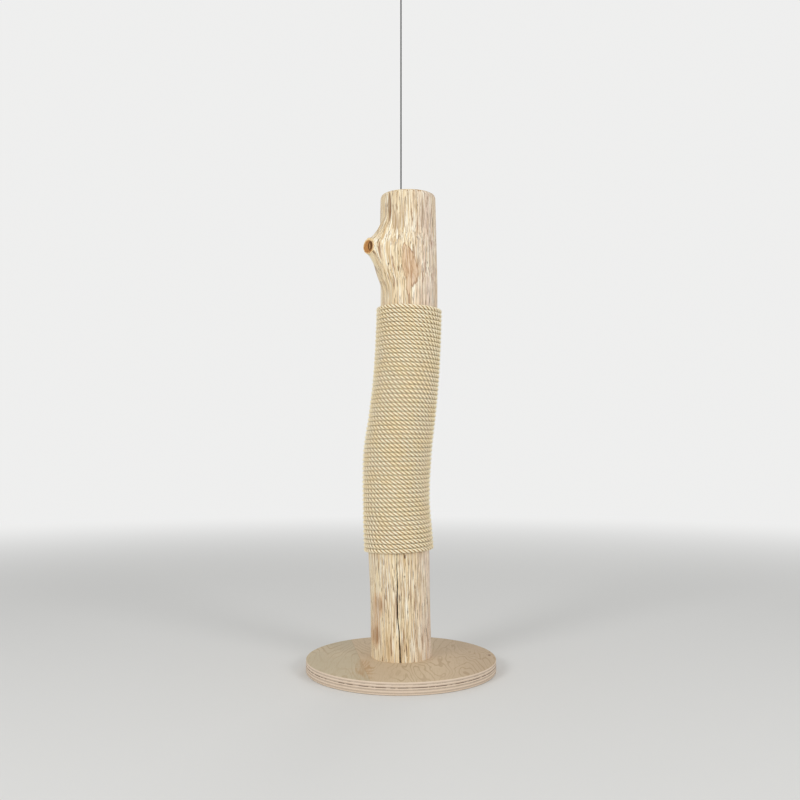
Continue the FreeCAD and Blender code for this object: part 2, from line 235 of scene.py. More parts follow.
def select_parts(piece, kind, test):
    """Selects, in edit mode, the active mesh's points, edges or faces for which a test holds."""
    bpy.ops.mesh.select_mode(type=kind)
    bpy.ops.mesh.select_all(action="DESELECT")
    mesh = bmesh.from_edit_mesh(piece.data)
    for part in {"VERT": mesh.verts, "EDGE": mesh.edges, "FACE": mesh.faces}[kind]:
        if test(part):
            part.select_set(True)
    mesh.select_flush_mode()
    bmesh.update_edit_mesh(piece.data)


def add_object(name, data):
    piece = bpy.data.objects.new(name, data)
    bpy.context.scene.collection.objects.link(piece)
    return piece


def apply_modifiers(piece):
    make_active(piece)
    for modifier in list(piece.modifiers):
        bpy.ops.object.modifier_apply(modifier=modifier.name)


def combine(piece, tool, operation, **settings):
    """Boolean of two pieces, kept in the first."""
    step = piece.modifiers.new("step", "BOOLEAN")
    step.operation = operation
    step.object = tool
    step.solver = "EXACT"
    for key, value in settings.items():
        setattr(step, key, value)
    apply_modifiers(piece)
    bpy.data.objects.remove(tool)


def smooth(piece, degrees=35):
    make_active(piece)
    bpy.ops.object.shade_smooth_by_angle(angle=math.radians(degrees))


def finish_piece(piece, name, stands_for=(), finishes=()):
    piece.name = name
    piece.data.name = name
    for finish in finishes:
        piece.data.materials.append(finish)
    if stands_for:
        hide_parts(*stands_for)
    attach(piece, "root")


# ---------------- finishes

class Nodes:
    """Adds and links the nodes of a shader tree."""

    def __init__(self, tree):
        self.tree = tree

    def feed(self, socket, value):
        if isinstance(value, bpy.types.NodeSocket):
            self.tree.links.new(value, socket)
        elif hasattr(socket.default_value, "__len__") and len(socket.default_value) == 4 and len(value) == 3:
            socket.default_value = (*value, 1)
        else:
            socket.default_value = value

    def node(self, kind, inputs, **settings):
        node = self.tree.nodes.new(kind)
        for key, value in settings.items():
            setattr(node, key, value)
        for key, value in inputs.items():
            self.feed(node.inputs[key], value)
        return node

    def add(self, kind, inputs, output=0, **settings):
        """Adds a node and gives one of its outputs."""
        return self.node(kind, inputs, **settings).outputs[output]

    def maths(self, operation, a, b=0.0):
        return self.add("ShaderNodeMath", {0: a, 1: b}, operation=operation)

    def times(self, a, b):
        return self.maths("MULTIPLY", a, b)

    def vector(self, operation, a, b=(0, 0, 0), output=0):
        return self.add("ShaderNodeVectorMath", {0: a, 1: b}, output, operation=operation)

    def length(self, vector):
        return self.vector("LENGTH", vector, output="Value")

    def seen(self):
        """1 on rays from the camera and on those that mirrors and glass send on."""
        path = self.node("ShaderNodeLightPath", {}).outputs
        shown = self.maths("MAXIMUM", path["Is Camera Ray"], path["Is Glossy Ray"])
        return self.maths("MAXIMUM", shown, path["Is Transmission Ray"])


class Finish(Nodes):
    """A procedural finish: a principled shader and the nodes that feed it."""

    def __init__(self, name):
        self.material = bpy.data.materials.new(name)
        self.material.use_nodes = True
        super().__init__(self.material.node_tree)
        self.shader = self.tree.nodes["Principled BSDF"]
        self.place = self.tree.nodes.new("ShaderNodeTexCoord").outputs["Object"]

    def set(self, **inputs):
        for key, value in inputs.items():
            self.feed(self.shader.inputs[key.replace("_", " ")], value)

    def uv(self, name):
        return self.add("ShaderNodeUVMap", {}, uv_map=name)

    def axes(self, vector=None):
        return self.node("ShaderNodeSeparateXYZ", {"Vector": vector or self.place}).outputs

    def stretch(self, scale, vector=None, shift=(0, 0, 0), turn=0):
        """Scales, shifts and turns coordinates; the turn is level, in degrees."""
        inputs = {"Vector": vector or self.place, "Scale": scale, "Location": shift,
                  "Rotation": (0, 0, math.radians(turn))}
        return self.add("ShaderNodeMapping", inputs)

    def spot(self, centre, halves, vector=None):
        """1 in the middle of an ellipsoid, falling to 0 at its skin."""
        inputs = {"Vector": vector or self.place, "Location": centre, "Scale": halves}
        near = self.add("ShaderNodeMapping", inputs, vector_type="TEXTURE")
        return self.add("ShaderNodeTexGradient", {"Vector": near}, "Fac", gradient_type="SPHERICAL")

    def noise(self, vector, scale, detail=2.0, roughness=0.5, distortion=0.0):
        inputs = {"Vector": vector, "Scale": scale, "Detail": detail, "Roughness": roughness,
                  "Distortion": distortion}
        return self.add("ShaderNodeTexNoise", inputs, "Fac")

    def grain(self, stretch, *settings):
        """Noise that is drawn out along some axes."""
        return self.noise(self.stretch(stretch), *settings)

    def pushed(self, amounts, scale, vector=None):
        """The object's coordinates, pushed about a little so that edges wander."""
        inputs = {"Vector": vector or self.place, "Scale": scale, "Detail": 3.0}
        centred = self.vector("SUBTRACT", self.add("ShaderNodeTexNoise", inputs, "Color"), (0.5, 0.5, 0.5))
        return self.vector("ADD", self.place, self.vector("MULTIPLY", centred, amounts))

    def away(self, value, middle):
        return self.maths("ABSOLUTE", self.maths("SUBTRACT", value, middle))

    def waves(self, value, count):
        """Sine of a value, with a number of waves in each unit of it."""
        return self.maths("SINE", self.times(value, 2 * math.pi * count))

    def span(self, value, low, high, out_low=0.0, out_high=1.0):
        """Maps low..high to out_low..out_high, smoothly and held at the ends."""
        inputs = {"Value": value, "From Min": low, "From Max": high, "To Min": out_low, "To Max": out_high}
        return self.add("ShaderNodeMapRange", inputs, interpolation_type="SMOOTHSTEP")

    def mix(self, share, low, high):
        return self.add("ShaderNodeMix", {0: share, 6: low, 7: high}, 2, data_type="RGBA")

    def layers(self, tint, *rows):
        """Lays colours over a tint. A row is a value, its low and high end, the shares there and a colour."""
        for value, low, high, low_share, high_share, shade in rows:
            tint = self.mix(self.span(value, low, high, low_share, high_share), tint, shade)
        return tint

    def ramp(self, value, *stops):
        node = self.node("ShaderNodeValToRGB", {"Fac": value})
        bands = node.color_ramp.elements
        while len(bands) < len(stops):
            bands.new(1.0)
        for band, (position, tint) in zip(bands, stops):
            band.position = position
            band.color = (*tint, 1)
        return node.outputs["Color"]

    def bump(self, height, distance, strength):
        inputs = {"Height": height, "Distance": distance, "Strength": strength}
        self.feed(self.shader.inputs["Normal"], self.add("ShaderNodeBump", inputs))


# ---------------- the log's shape, read from the frame

def log_section(z):
    """Middle and radius of the log at a height, by rays from both sides at the depth of its axis."""
    depth = (trunk_low.y + trunk_high.y) / 2
    inset = 0.002
    z = min(max(z, log_foot + inset), log_top - inset)
    left = trunk_surface.ray_cast(Vector((-1, depth, z)), Vector((1, 0, 0)))[0]
    right = trunk_surface.ray_cast(Vector((1, depth, z)), Vector((-1, 0, 0)))[0]
    return Vector(((left.x + right.x) / 2, depth, z)), (right.x - left.x) / 2


def smooth_section(z):
    """The log's section averaged over a short stretch, so that facets don't show."""
    spread = 0.012
    middles = Vector()
    radii = 0.0
    steps = (-1, -0.5, 0, 0.5, 1)
    for step in steps:
        middle, radius = log_section(z + step * spread)
        middles += middle
        radii += radius
    middles /= len(steps)
    return Vector((middles.x, middles.y, z)), radii / len(steps)


# ---------------- stage

class POST_OT_stage(Operator):
    """Sets the camera at the photograph's angle, a pale floor and soft lights"""
    bl_idname = "post.set_stage"
    bl_label = "Set stage"

    sensor_width = 36
    backdrop = (0.86, 0.86, 0.855)
    floor_radius = 14
    floor_level = -0.0004
    # distances from the post between which the floor passes into the backdrop
    fade = (1.2, 4.5)
    aim = (0, 0, 0.6)
    lamp_size = 1.1
    # name, place and share of the front lights' power
    lamps = (
        ("front_left", (-1.9, -2.3, 1.6), 1.06),
        ("front_right", (2.0, -2.1, 1.5), 0.78),
        ("back", (0.6, 2.6, 2.2), 0.25),
    )

    def execute(self, context):
        stage = context.scene.post_stage
        context.scene.view_settings.view_transform = "Standard"
        deselect_all()
        bpy.ops.object.camera_add(
            location=(stage.camera_side, -stage.camera_distance, stage.camera_height),
            rotation=(math.radians(90) + stage.camera_tilt, 0, 0))
        camera = context.object
        camera.data.lens = stage.lens
        camera.data.sensor_width = self.sensor_width
        context.scene.camera = camera
        self.add_floor(stage)
        self.add_lights(stage)
        self.set_world(context.scene, stage)
        return {"FINISHED"}

    def add_floor(self, stage):
        """A wide disc that passes into the backdrop far from the post."""
        bpy.ops.mesh.primitive_circle_add(vertices=96, radius=self.floor_radius, fill_type="NGON",
                                          location=(0, 0, self.floor_level))
        floor = bpy.context.object
        floor.name = "floor"
        finish = Finish("pale_floor")
        finish.set(Base_Color=stage.floor_colour, Roughness=0.9, Specular_IOR_Level=0.1)
        far = finish.span(finish.length(finish.place), *self.fade)
        glow = finish.add("ShaderNodeEmission", {"Color": self.backdrop, "Strength": 1.0})
        shares = {0: finish.times(far, finish.seen()), 1: finish.shader.outputs[0], 2: glow}
        both = finish.add("ShaderNodeMixShader", shares)
        finish.feed(finish.tree.nodes["Material Output"].inputs["Surface"], both)
        floor.data.materials.append(finish.material)

    def add_lights(self, stage):
        for name, place, share in self.lamps:
            turn = (Vector(self.aim) - Vector(place)).to_track_quat("-Z", "Y").to_euler()
            bpy.ops.object.light_add(type="AREA", location=place, rotation=turn)
            lamp = bpy.context.object
            lamp.name = name
            lamp.data.energy = stage.front_power * share
            lamp.data.shape = "DISK"
            lamp.data.size = self.lamp_size

    def set_world(self, scene, stage):
        """Even light from all round, which the camera sees as the pale backdrop."""
        world = bpy.data.worlds.new("studio")
        scene.world = world
        world.use_nodes = True
        shading = Nodes(world.node_tree)
        light = shading.tree.nodes["Background"]
        shading.feed(light.inputs["Color"], (1, 1, 1))
        shading.feed(light.inputs["Strength"], stage.ambient)
        shown = shading.add("ShaderNodeBackground", {"Color": self.backdrop, "Strength": 1.0})
        both = shading.add("ShaderNodeMixShader", {0: shading.seen(), 1: light.outputs[0], 2: shown})
        shading.feed(shading.tree.nodes["World Output"].inputs["Surface"], both)


# ---------------- cable

def lobed_outline(lobes, radius, share, steps):
    """Points round a bundle of round strands: share is a strand's radius over the bundle's."""
    strand = radius * share
    offset = radius - strand
    gap = math.pi / lobes
    side = offset * math.sin(gap)
    valley = offset * math.cos(gap) + math.sqrt(strand ** 2 - side ** 2)
    turn = math.atan2(valley * math.sin(gap), valley * math.cos(gap) - offset)
    outline = []
    for lobe in range(lobes):
        middle = 2 * gap * lobe
        for step in range(steps):
            bearing = turn * (2 * step / steps - 1)
            x = offset + strand * math.cos(bearing)
            y = strand * math.sin(bearing)
            outline.append(turned(x, y, middle))
    return outline


def outline_curve(name, outline):
    """Closed flat curve, as the section of another curve."""
    curve = bpy.data.curves.new(name, "CURVE")
    curve.dimensions = "2D"
    spline = curve.splines.new("POLY")
    spline.points.add(len(outline) - 1)
    for point, (x, y) in zip(spline.points, outline):
        point.co = (x, y, 0, 1)
    spline.use_cyclic_u = True
    piece = add_object(name, curve)
    piece.hide_render = True
    return piece


def add_spline(curve, points, steps, kind, values):
    """Adds an open NURBS spline with these control points, and a tilt or a radius for each."""
    spline = curve.splines.new("NURBS")
    spline.points.add(len(points) - 1)
    for point, place, value in zip(spline.points, points, values):
        point.co = (*place, 1)
        setattr(point, kind, value)
    spline.order_u = 3
    spline.use_endpoint_u = True
    spline.resolution_u = steps


def nurbs_line(name, points, tilts, steps):
    """Open NURBS curve that is twisted by the tilts of its points."""
    curve = bpy.data.curves.new(name, "CURVE")
    curve.dimensions = "3D"
    curve.twist_mode = "Z_UP"
    curve.resolution_u = steps
    add_spline(curve, points, steps, "tilt", tilts)
    return add_object(name, curve)


class POST_OT_cable(Operator):
    """Strings the taut steel cable from the log's top to its eye at the ceiling"""
    bl_idname = "post.add_cable"
    bl_label = "Cable"

    strand_share = 0.36
    strand_steps = 4
    stops = (0, 0.25, 0.75, 1)
    rings_per_stop = 150

    def execute(self, context):
        bpy.ops.post.add_ends()
        cable = context.scene.post_cable
        length = cable_high.z - cable_low.z
        outline = lobed_outline(cable.strands, cable.diameter / 2, self.strand_share, self.strand_steps)
        section = outline_curve("cable_outline", outline)
        points = [Vector((0, 0, cable_low.z + length * stop)) for stop in self.stops]
        tilts = [2 * math.pi * length / cable.lay * stop for stop in self.stops]
        piece = nurbs_line("steel_cable", points, tilts, self.rings_per_stop)
        piece.data.bevel_mode = "OBJECT"
        piece.data.bevel_object = section
        piece.data.use_fill_caps = True
        finish_piece(piece, "steel_cable", ["ceiling_cable"], [self.coating(cable)])
        return {"FINISHED"}

    def coating(self, cable):
        """Black coating, worn dull in places."""
        finish = Finish("coated_cable")
        grime = finish.grain((1, 1, 0.3), 900, 3)
        finish.set(Base_Color=finish.ramp(grime, (0.3, cable.black), (0.75, cable.worn)),
                   Roughness=finish.span(grime, 0.2, 0.8, 0.35, 0.6), Specular_IOR_Level=0.4)
        return finish.material


# ---------------- rope

class POST_OT_rope(Operator):
    """Winds the three-strand sisal rope round the log, in the three lengths of the frame"""
    bl_idname = "post.add_rope"
    bl_label = "Sisal rope"

    points_per_turn = 16
    rings_per_point = 12
    outline_steps = 7
    lobes = 3
    strand_share = 0.575
    girth_of_turn = 0.43
    turn_counts = {"rope_lower": 18, "rope_middle": 19, "rope_upper": 18}

    def execute(self, context):
        rope = context.scene.post_rope
        finish = self.sisal(rope)
        first = 0
        for name, turns in self.turn_counts.items():
            self.wind(name, first, first + turns, rope, finish)
            first += turns
        self.scatter_fibres(rope, first)
        return {"FINISHED"}

    def centre(self, turn, rope, bulge=1.0):
        """Point of the rope's centre line; bulge moves it out, for control points."""
        bearing = math.radians(90) + 2 * math.pi * turn
        level = rope.start + rope.pitch * turn
        share = turn / sum(self.turn_counts.values())
        slope = math.tan(rope.tilt_start + (rope.tilt_end - rope.tilt_start) * share)
        z = level + slope * smooth_section(level)[1] * math.cos(bearing)
        middle, radius = smooth_section(z)
        reach = (radius + rope.seat) * bulge
        return middle + Vector((math.cos(bearing), math.sin(bearing), 0)) * reach

    def wind(self, name, first, last, rope, finish):
        """Lays three strands round the winding's line, which runs as a NURBS curve up the log."""
        count = self.points_per_turn
        bulge = 1 / math.cos(math.pi / count)
        turns = [first] + [first + (i + 0.5) / count for i in range((last - first) * count)] + [last]
        points = [self.centre(turn, rope, 1 if turn in (first, last) else bulge) for turn in turns]
        line = nurbs_line(name + "_line", points, [0.0] * len(points), self.rings_per_point)
        route = bpy.data.meshes.new_from_object(line)
        middles = [vertex.co.copy() for vertex in route.vertices]
        bpy.data.objects.remove(line)
        bpy.data.meshes.remove(route)
        piece = self.lay_strands(name + "_strands", middles, first * self.girth_of_turn, rope)
        finish_piece(piece, piece.name, [name], [finish])

    def swell(self, travelled):
        """Uneven thickness of the rope along its run."""
        return 0.99 + 0.03 * noise.noise(Vector((travelled * 55, 3.1, 0)))

    def lay_strands(self, name, middles, travelled, rope):
        """Closed tube with three lobes that twist once in each lay, its UV map in metres along the fibres."""
        outline = lobed_outline(self.lobes, rope.diameter / 2, self.strand_share, self.outline_steps)
        points = []
        runs = []
        for index, middle in enumerate(middles):
            ahead = middles[min(index + 1, len(middles) - 1)]
            behind = middles[max(index - 1, 0)]
            direction = (ahead - behind).normalized()
            if index:
                travelled += (middle - behind).length
            outward = middle - smooth_section(middle.z)[0]
            outward = (outward - direction * outward.dot(direction)).normalized()
            upward = direction.cross(outward)
            phase = 2 * math.pi * travelled / rope.lay
            swell = self.swell(travelled)
            runs.append((travelled, phase))
            for x, y in outline:
                out, up = turned(x, y, phase)
                points.append(middle + outward * (out * swell) + upward * (up * swell))
        faces, places = self.skin(runs, len(outline), math.pi * rope.diameter)
        mesh = bpy.data.meshes.new(name)
        mesh.from_pydata(points, [], faces)
        mesh.uv_layers.new(name="fibre").data.foreach_set("uv", places)
        # height on the strand, 0 in the grooves: it sets where shade is painted on the strands
        crown = mesh.attributes.new("crown", "FLOAT", "POINT")
        heights = [math.sin(math.pi * step / self.outline_steps) for step in range(self.outline_steps)]
        crown.data.foreach_set("value", heights * self.lobes * len(middles))
        mesh.shade_smooth()
        return add_object(name, mesh)

    def skin(self, runs, around, girth):
        """Faces between the rings and over both ends, and the places of their corners in the UV map."""
        faces = []
        places = []
        for ring in range(len(runs) - 1):
            here = ring * around
            for step in range(around):
                after = (step + 1) % around
                faces.append((here + step, here + after, here + around + after, here + around + step))
                for row, column in ((ring, step), (ring, step + 1), (ring + 1, step + 1), (ring + 1, step)):
                    run, phase = runs[row]
                    places += [run, girth * (column / around + phase / (2 * math.pi))]
        last_ring = (len(runs) - 1) * around
        faces.append(tuple(range(around))[::-1])
        faces.append(tuple(range(last_ring, last_ring + around)))
        places += [0.0] * (4 * around)
        return faces, places

    def sisal(self, rope):
        """Pale fibres, with painted shade low on the strands and deep in the grooves between them."""
        finish = Finish("sisal_fibre")
        crown = finish.add("ShaderNodeAttribute", {}, "Fac", attribute_name="crown")
        uv = finish.uv("fibre")
        fibre = finish.noise(finish.stretch((70, 1100, 1), uv), 1.6, 3, 0.65)
        tuft = finish.noise(finish.stretch((160, 420, 1), uv), 1, 2)
        blotch = finish.noise(finish.place, 34, 2)
        light = finish.layers(rope.straw, (blotch, 0.35, 0.7, 0, 1, rope.warm),
                              (fibre, 0.45, 0.75, 0, 0.5, rope.dull), (tuft, 0.55, 0.75, 0, 0.4, rope.tuft))
        height = finish.maths("ADD", crown, finish.span(tuft, 0.3, 0.7, -0.1, 0.1))
        # painted shade: by the height on the strand the colour falls through flank and hollow to the groove,
        # and the lit crowns keep the pale colour
        low = finish.ramp(height, (0, rope.shadow), (0.2, rope.hollow_shade), (0.56, rope.flank_shade))
        finish.set(Base_Color=finish.mix(finish.span(height, 0.32, 0.72), low, light), Roughness=0.85,
                   Specular_IOR_Level=0.2)
        finish.bump(fibre, 0.0006, 0.5)
        return finish.material

    def scatter_fibres(self, rope, turns):
        """Loose fibres: thin curved hairs that leave the rope along its run."""
        chance = random.Random(11)
        shares = (0, 0.35, 0.7, 1)
        curve = bpy.data.curves.new("fibres", "CURVE")
        curve.dimensions = "3D"
        curve.bevel_depth = 0.00009
        curve.bevel_resolution = 0
        for _ in range(rope.stray_fibres):
            turn = chance.uniform(0.3, turns - 0.3)
            here = self.centre(turn, rope)
            ahead = (self.centre(turn + 0.002, rope) - here).normalized()
            outward = (here - smooth_section(here.z)[0]).normalized()
            length = chance.uniform(0.006, 0.016)
            lift = chance.uniform(0.001, 0.0045)
            drop = chance.uniform(-0.004, 0.004)
            way = chance.choice((-1, 1))
            root = here + outward * (rope.diameter / 2 - 0.0004) + UP * chance.uniform(-0.003, 0.003)
            points = [root + ahead * (way * length * share) + outward * (lift * share ** 1.5)
                      + UP * (drop * share ** 2) for share in shares]
            add_spline(curve, points, 2, "radius", [1 - 0.6 * share for share in shares])
        piece = add_object("fibres", curve)
        make_active(piece)
        bpy.ops.object.convert(target="MESH")
        finish = Finish("loose_fibre")
        tint = finish.noise(finish.place, 60, 2)
        finish.set(Base_Color=finish.ramp(tint, (0.3, rope.stray), (0.7, rope.stray_pale)), Roughness=0.8)
        finish_piece(piece, "stray_fibres", (), [finish.material])


# ---------------- log

def heading(turn):
    """Level direction turned to the left of the front."""
    return Vector((-math.sin(turn), -math.cos(turn), 0))


def between(rows, key, value):
    """The row of a table at a value of one column, by which its rows are sorted."""
    for low, high in zip(rows, rows[1:]):
        if value <= high[key]:
            share = max(0.0, (value - low[key]) / (high[key] - low[key]))
            return [a + (b - a) * share for a, b in zip(low, high)]
    return rows[-1]


def climbs(edge, least=0.003):
    """Whether an edge isn't level."""
    return abs(edge.verts[0].co.z - edge.verts[1].co.z) > least


class POST_OT_log(Operator):
    """Shapes the debarked log with its branch stub and its drying crack"""
    bl_idname = "post.add_log"
    bl_label = "Log"

    # reach from the log's axis, rise over the branch's height, half height, half width
    collar = (
        (0.045, -0.012, 0.100, 0.045),
        (0.064, -0.005, 0.074, 0.033),
        (0.076, 0.003, 0.045, 0.024),
        (0.088, 0.005, 0.027, 0.018),
        (0.097, 0.006, 0.017, 0.016),
        (0.125, 0.007, 0.014, 0.014),
    )
    # farthest reach of the collar, and the height over or under the branch beyond which it has none
    collar_limit = 0.111
    collar_height = 0.1
    # least cosine of the angle from the branch's heading to its collar
    collar_cosine = 0.5
    # half height and reaches between which the collar's root is softened
    root_height = 0.11
    root_reaches = (0.05, 0.084)
    # sideways place, height and width of the crack, from its foot to its head
    crack_line = (
        (-0.0013, 0.018, 0.0037),
        (-0.0020, 0.050, 0.0034),
        (-0.0038, 0.084, 0.0028),
        (-0.0058, 0.104, 0.0030),
        (-0.0070, 0.122, 0.0038),
        (-0.0080, 0.160, 0.0040),
        (-0.0082, 0.195, 0.0030),
        (-0.0086, 0.215, 0.0019),
        (-0.0082, 0.286, 0.0013),
    )
    crack_steps = 60
    # half width at the crack's bottom over its width at the surface, and how far the cutting wedge
    # stands out of the wood
    crack_narrowing = 0.06
    crack_overhang = 0.006
    rim_height = 0.0065
    end_insets = (0.03, 0.12, 0.25, 0.3)
    # half depth of the ovals that colour the front, so large that only their width and height show
    mark_depth = 0.09
    # depth, and sideways place, height, half width and half height of the ovals that make the pointed scar
    flame_depth = -0.045
    flame_ovals = (
        (0.0070, 0.872, 0.0075, 0.030),
        (0.0215, 0.842, 0.017, 0.036),
        (0.0185, 0.870, 0.009, 0.024),
        (0.0150, 0.816, 0.007, 0.028),
    )
    # centre, half width, half height, colour and strength of the small marks on the bare wood; those
    # without a colour take that of the bark scars
    marks = (
        ((-0.024, -0.045, 0.9815), 0.006, 0.040, (134, 100, 66), 1.0),
        ((-0.010, -0.047, 0.945), 0.010, 0.030, (176, 146, 110), 0.8),
        ((0.002, -0.047, 0.962), 0.005, 0.040, (184, 154, 118), 0.7),
        ((0.046, -0.035, 0.965), 0.005, 0.045, (160, 132, 108), 0.8),
        ((-0.049, -0.035, 0.137), 0.015, 0.036, None, 0.9),
        ((-0.052, -0.035, 0.083), 0.017, 0.044, None, 0.95),
        ((-0.051, -0.035, 0.078), 0.009, 0.024, (160, 120, 84), 0.8),
        ((-0.047, -0.035, 0.141), 0.008, 0.018, (164, 128, 92), 0.7),
        ((0.0095, -0.055, 0.2425), 0.0017, 0.0050, (80, 54, 34), 1.0),
        ((0.0074, -0.055, 0.2005), 0.0019, 0.0024, (80, 54, 34), 1.0),
        ((0.031, -0.045, 0.148), 0.0030, 0.046, (150, 116, 82), 0.9),
        ((-0.026, -0.045, 0.856), 0.0019, 0.0028, (70, 46, 26), 1.0),
        ((-0.022, -0.045, 0.842), 0.0017, 0.0026, (70, 46, 26), 0.9),
    )

    def execute(self, context):
        log = context.scene.post_log
        piece = self.turn_blank(log)
        self.shape(piece, log)
        self.saw_branch(piece, log)
        piece.data.materials.append(self.bare_wood(log))
        self.cut_crack(piece, log)
        smooth(piece, 40)
        finish_piece(piece, "debarked_log", ["trunk"])
        return {"FINISHED"}

    def turn_blank(self, log):
        """Upright cylinder of unit radius with level rows and inset ends."""
        deselect_all()
        bpy.ops.mesh.primitive_cylinder_add(vertices=log.columns, radius=1, depth=log_top - log_foot,
                                            location=(0, 0, (log_top + log_foot) / 2))
        piece = bpy.context.object
        settle(piece)
        with editing(piece):
            for _ in range(2):
                select_parts(piece, "EDGE", climbs)
                bpy.ops.mesh.subdivide(number_cuts=log.row_splits - 1)
            for way in (1, -1):
                select_parts(piece, "FACE", lambda f: f.normal.z * way > 0.9)
                for thickness in self.end_insets:
                    bpy.ops.mesh.inset(thickness=thickness)
        return piece

    def shape(self, piece, log):
        """Moves the blank's points to the log's bends, ridges, rounded rim and branch collar."""
        outward = heading(log.branch_turn)
        across = UP.cross(outward)
        sections = {}
        grain = []
        for vertex in piece.data.vertices:
            x, y, z = vertex.co
            key = round(z, 5)
            if key not in sections:
                sections[key] = smooth_section(z)
            middle, radius = sections[key]
            share = math.hypot(x, y)
            way = Vector((x, y, 0)) / max(share, 1e-9)
            near_rim = max(0.0, 1 - (log_top - z) / self.rim_height)
            radius -= log.rim * near_rim ** 2
            reach = radius + (self.ridge(way, z) - 0.5) * log.ridges
            if share > 0.99:
                reach = self.collar_reach(way, outward, across, reach, z - log.branch_height)
            vertex.co = Vector((middle.x, middle.y, z)) + way * (reach * share)
            grain.append((way.x * radius * share, way.y * radius * share, z))
        self.map_grain(piece.data, grain)

    def map_grain(self, mesh, grain):
        """Keeps each point's place on the bare log in two UV maps, so that the grain follows the branch."""
        girth = mesh.uv_layers.new(name="girth")
        rise = mesh.uv_layers.new(name="rise")
        corners = [grain[loop.vertex_index] for loop in mesh.loops]
        girth.data.foreach_set("uv", [value for x, y, z in corners for value in (x, y)])
        rise.data.foreach_set("uv", [value for x, y, z in corners for value in (z, 0.0)])

    def ridge(self, way, z):
        """Shallow ridges that run with the grain."""
        wide = noise.noise(Vector((way.x * 2.2, way.y * 2.2, z * 3.0)))
        fine = noise.noise(Vector((way.x * 9, way.y * 9, z * 9.0 + 7)))
        return wide + 0.55 * fine

    def collar_reach(self, way, outward, across, reach, height):
        """Distance from the axis to the branch's collar along a direction, or the log's own."""
        along = way.dot(outward)
        if along < self.collar_cosine or abs(height) > self.collar_height:
            return reach
        sideways = way.dot(across)

        def outside(distance):
            rise, half_height, half_width = between(self.collar, 0, distance * along)[1:]
            return (distance * sideways / half_width) ** 2 + ((height - rise) / half_height) ** 2 > 1

        if outside(reach):
            return reach
        low, high = reach, self.collar_limit / along
        if not outside(high):
            return high
        for _ in range(24):
            middle = (low + high) / 2
            if outside(middle):
                high = middle
            else:
                low = middle
        return low

    def saw_branch(self, piece, log):
        """Softens the collar's root and saws the stub off flat."""
        outward = heading(log.branch_turn)
        middle = smooth_section(log.branch_height)[0]
        near, far = self.root_reaches

        def near_collar(vertex):
            offset = vertex.co - middle
            height = offset.z
            offset.z = 0
            if abs(height) > self.root_height or not near < offset.length < far:
                return False
            return offset.dot(outward) > self.collar_cosine * offset.length

        with editing(piece):
            select_parts(piece, "VERT", near_collar)
            bpy.ops.mesh.vertices_smooth(factor=0.5, repeat=8)
            bpy.ops.mesh.select_all(action="SELECT")
            bpy.ops.mesh.bisect(plane_co=middle + outward * log.branch_reach, plane_no=heading(log.cut_turn),
                                use_fill=True, clear_outer=True)

    def cut_crack(self, piece, log):
        """Cuts a wedge that follows the grain and narrows inwards, its rough walls painted dark as the shade
        deep in the crack.
        """
        foot = self.crack_line[0][1]
        head = self.crack_line[-1][1]
        middle, radius = smooth_section(foot)
        surface_y = middle.y - radius
        deselect_all()
        bpy.ops.mesh.primitive_cube_add(size=1, location=(0, 0, 0.5))
        wedge = bpy.context.object
        settle(wedge)
        with editing(wedge):
            select_parts(wedge, "EDGE", climbs)
            bpy.ops.mesh.subdivide(number_cuts=self.crack_steps)
        for vertex in wedge.data.vertices:
            side = 1 if vertex.co.x > 0 else -1
            z = foot + (head - foot) * vertex.co.z
            x, _, width = between(self.crack_line, 1, z)
            x += 0.0007 * noise.noise(Vector((z * 90, 1.5, 0)))
            width *= 1 + 0.35 * noise.noise(Vector((z * 160, 8.5, side)))
            if vertex.co.y > 0:
                vertex.co = (x + side * width * self.crack_narrowing, surface_y + log.crack_depth, z)
            else:
                vertex.co = (x + side * width * 0.5, surface_y - self.crack_overhang, z)
        wedge.data.materials.append(self.crack_wall_shade())
        before = len(piece.data.polygons)
        combine(piece, wedge, "DIFFERENCE", material_mode="TRANSFER")
        if len(piece.data.polygons) == before:
            raise RuntimeError("the crack wasn't cut")

    def crack_wall_shade(self):
        # painted shade: the walls are painted nearly black, as the shade deep in the crack
        finish = Finish("crack_wall_shade")
        grain = finish.grain((1, 1, 0.06), 700, 3)
        finish.set(Base_Color=finish.ramp(grain, (0.3, srgb(36, 25, 15)), (0.7, srgb(66, 46, 29))),
                   Roughness=0.9)
        return finish.material

    def bare_wood(self, log):
        """Cream sapwood with streaks, flecks, bark scars, end grain, the branch's sawn face and a painted
        tint of the cooler light on the right side.
        """
        finish = Finish("bare_log")
        x, _, z = finish.axes()
        across = finish.axes(finish.uv("girth"))
        up = finish.axes(finish.uv("rise"))
        grain = finish.add("ShaderNodeCombineXYZ", {0: across[0], 1: across[1], 2: up[0]})

        def drawn(scale, length, detail, shift=0.0):
            """Noise drawn out up the log, which follows the branch."""
            stretched = finish.stretch((1, 1, length), grain, (shift, 0.3 * shift, 0))
            return finish.noise(stretched, scale, detail, 0.6)

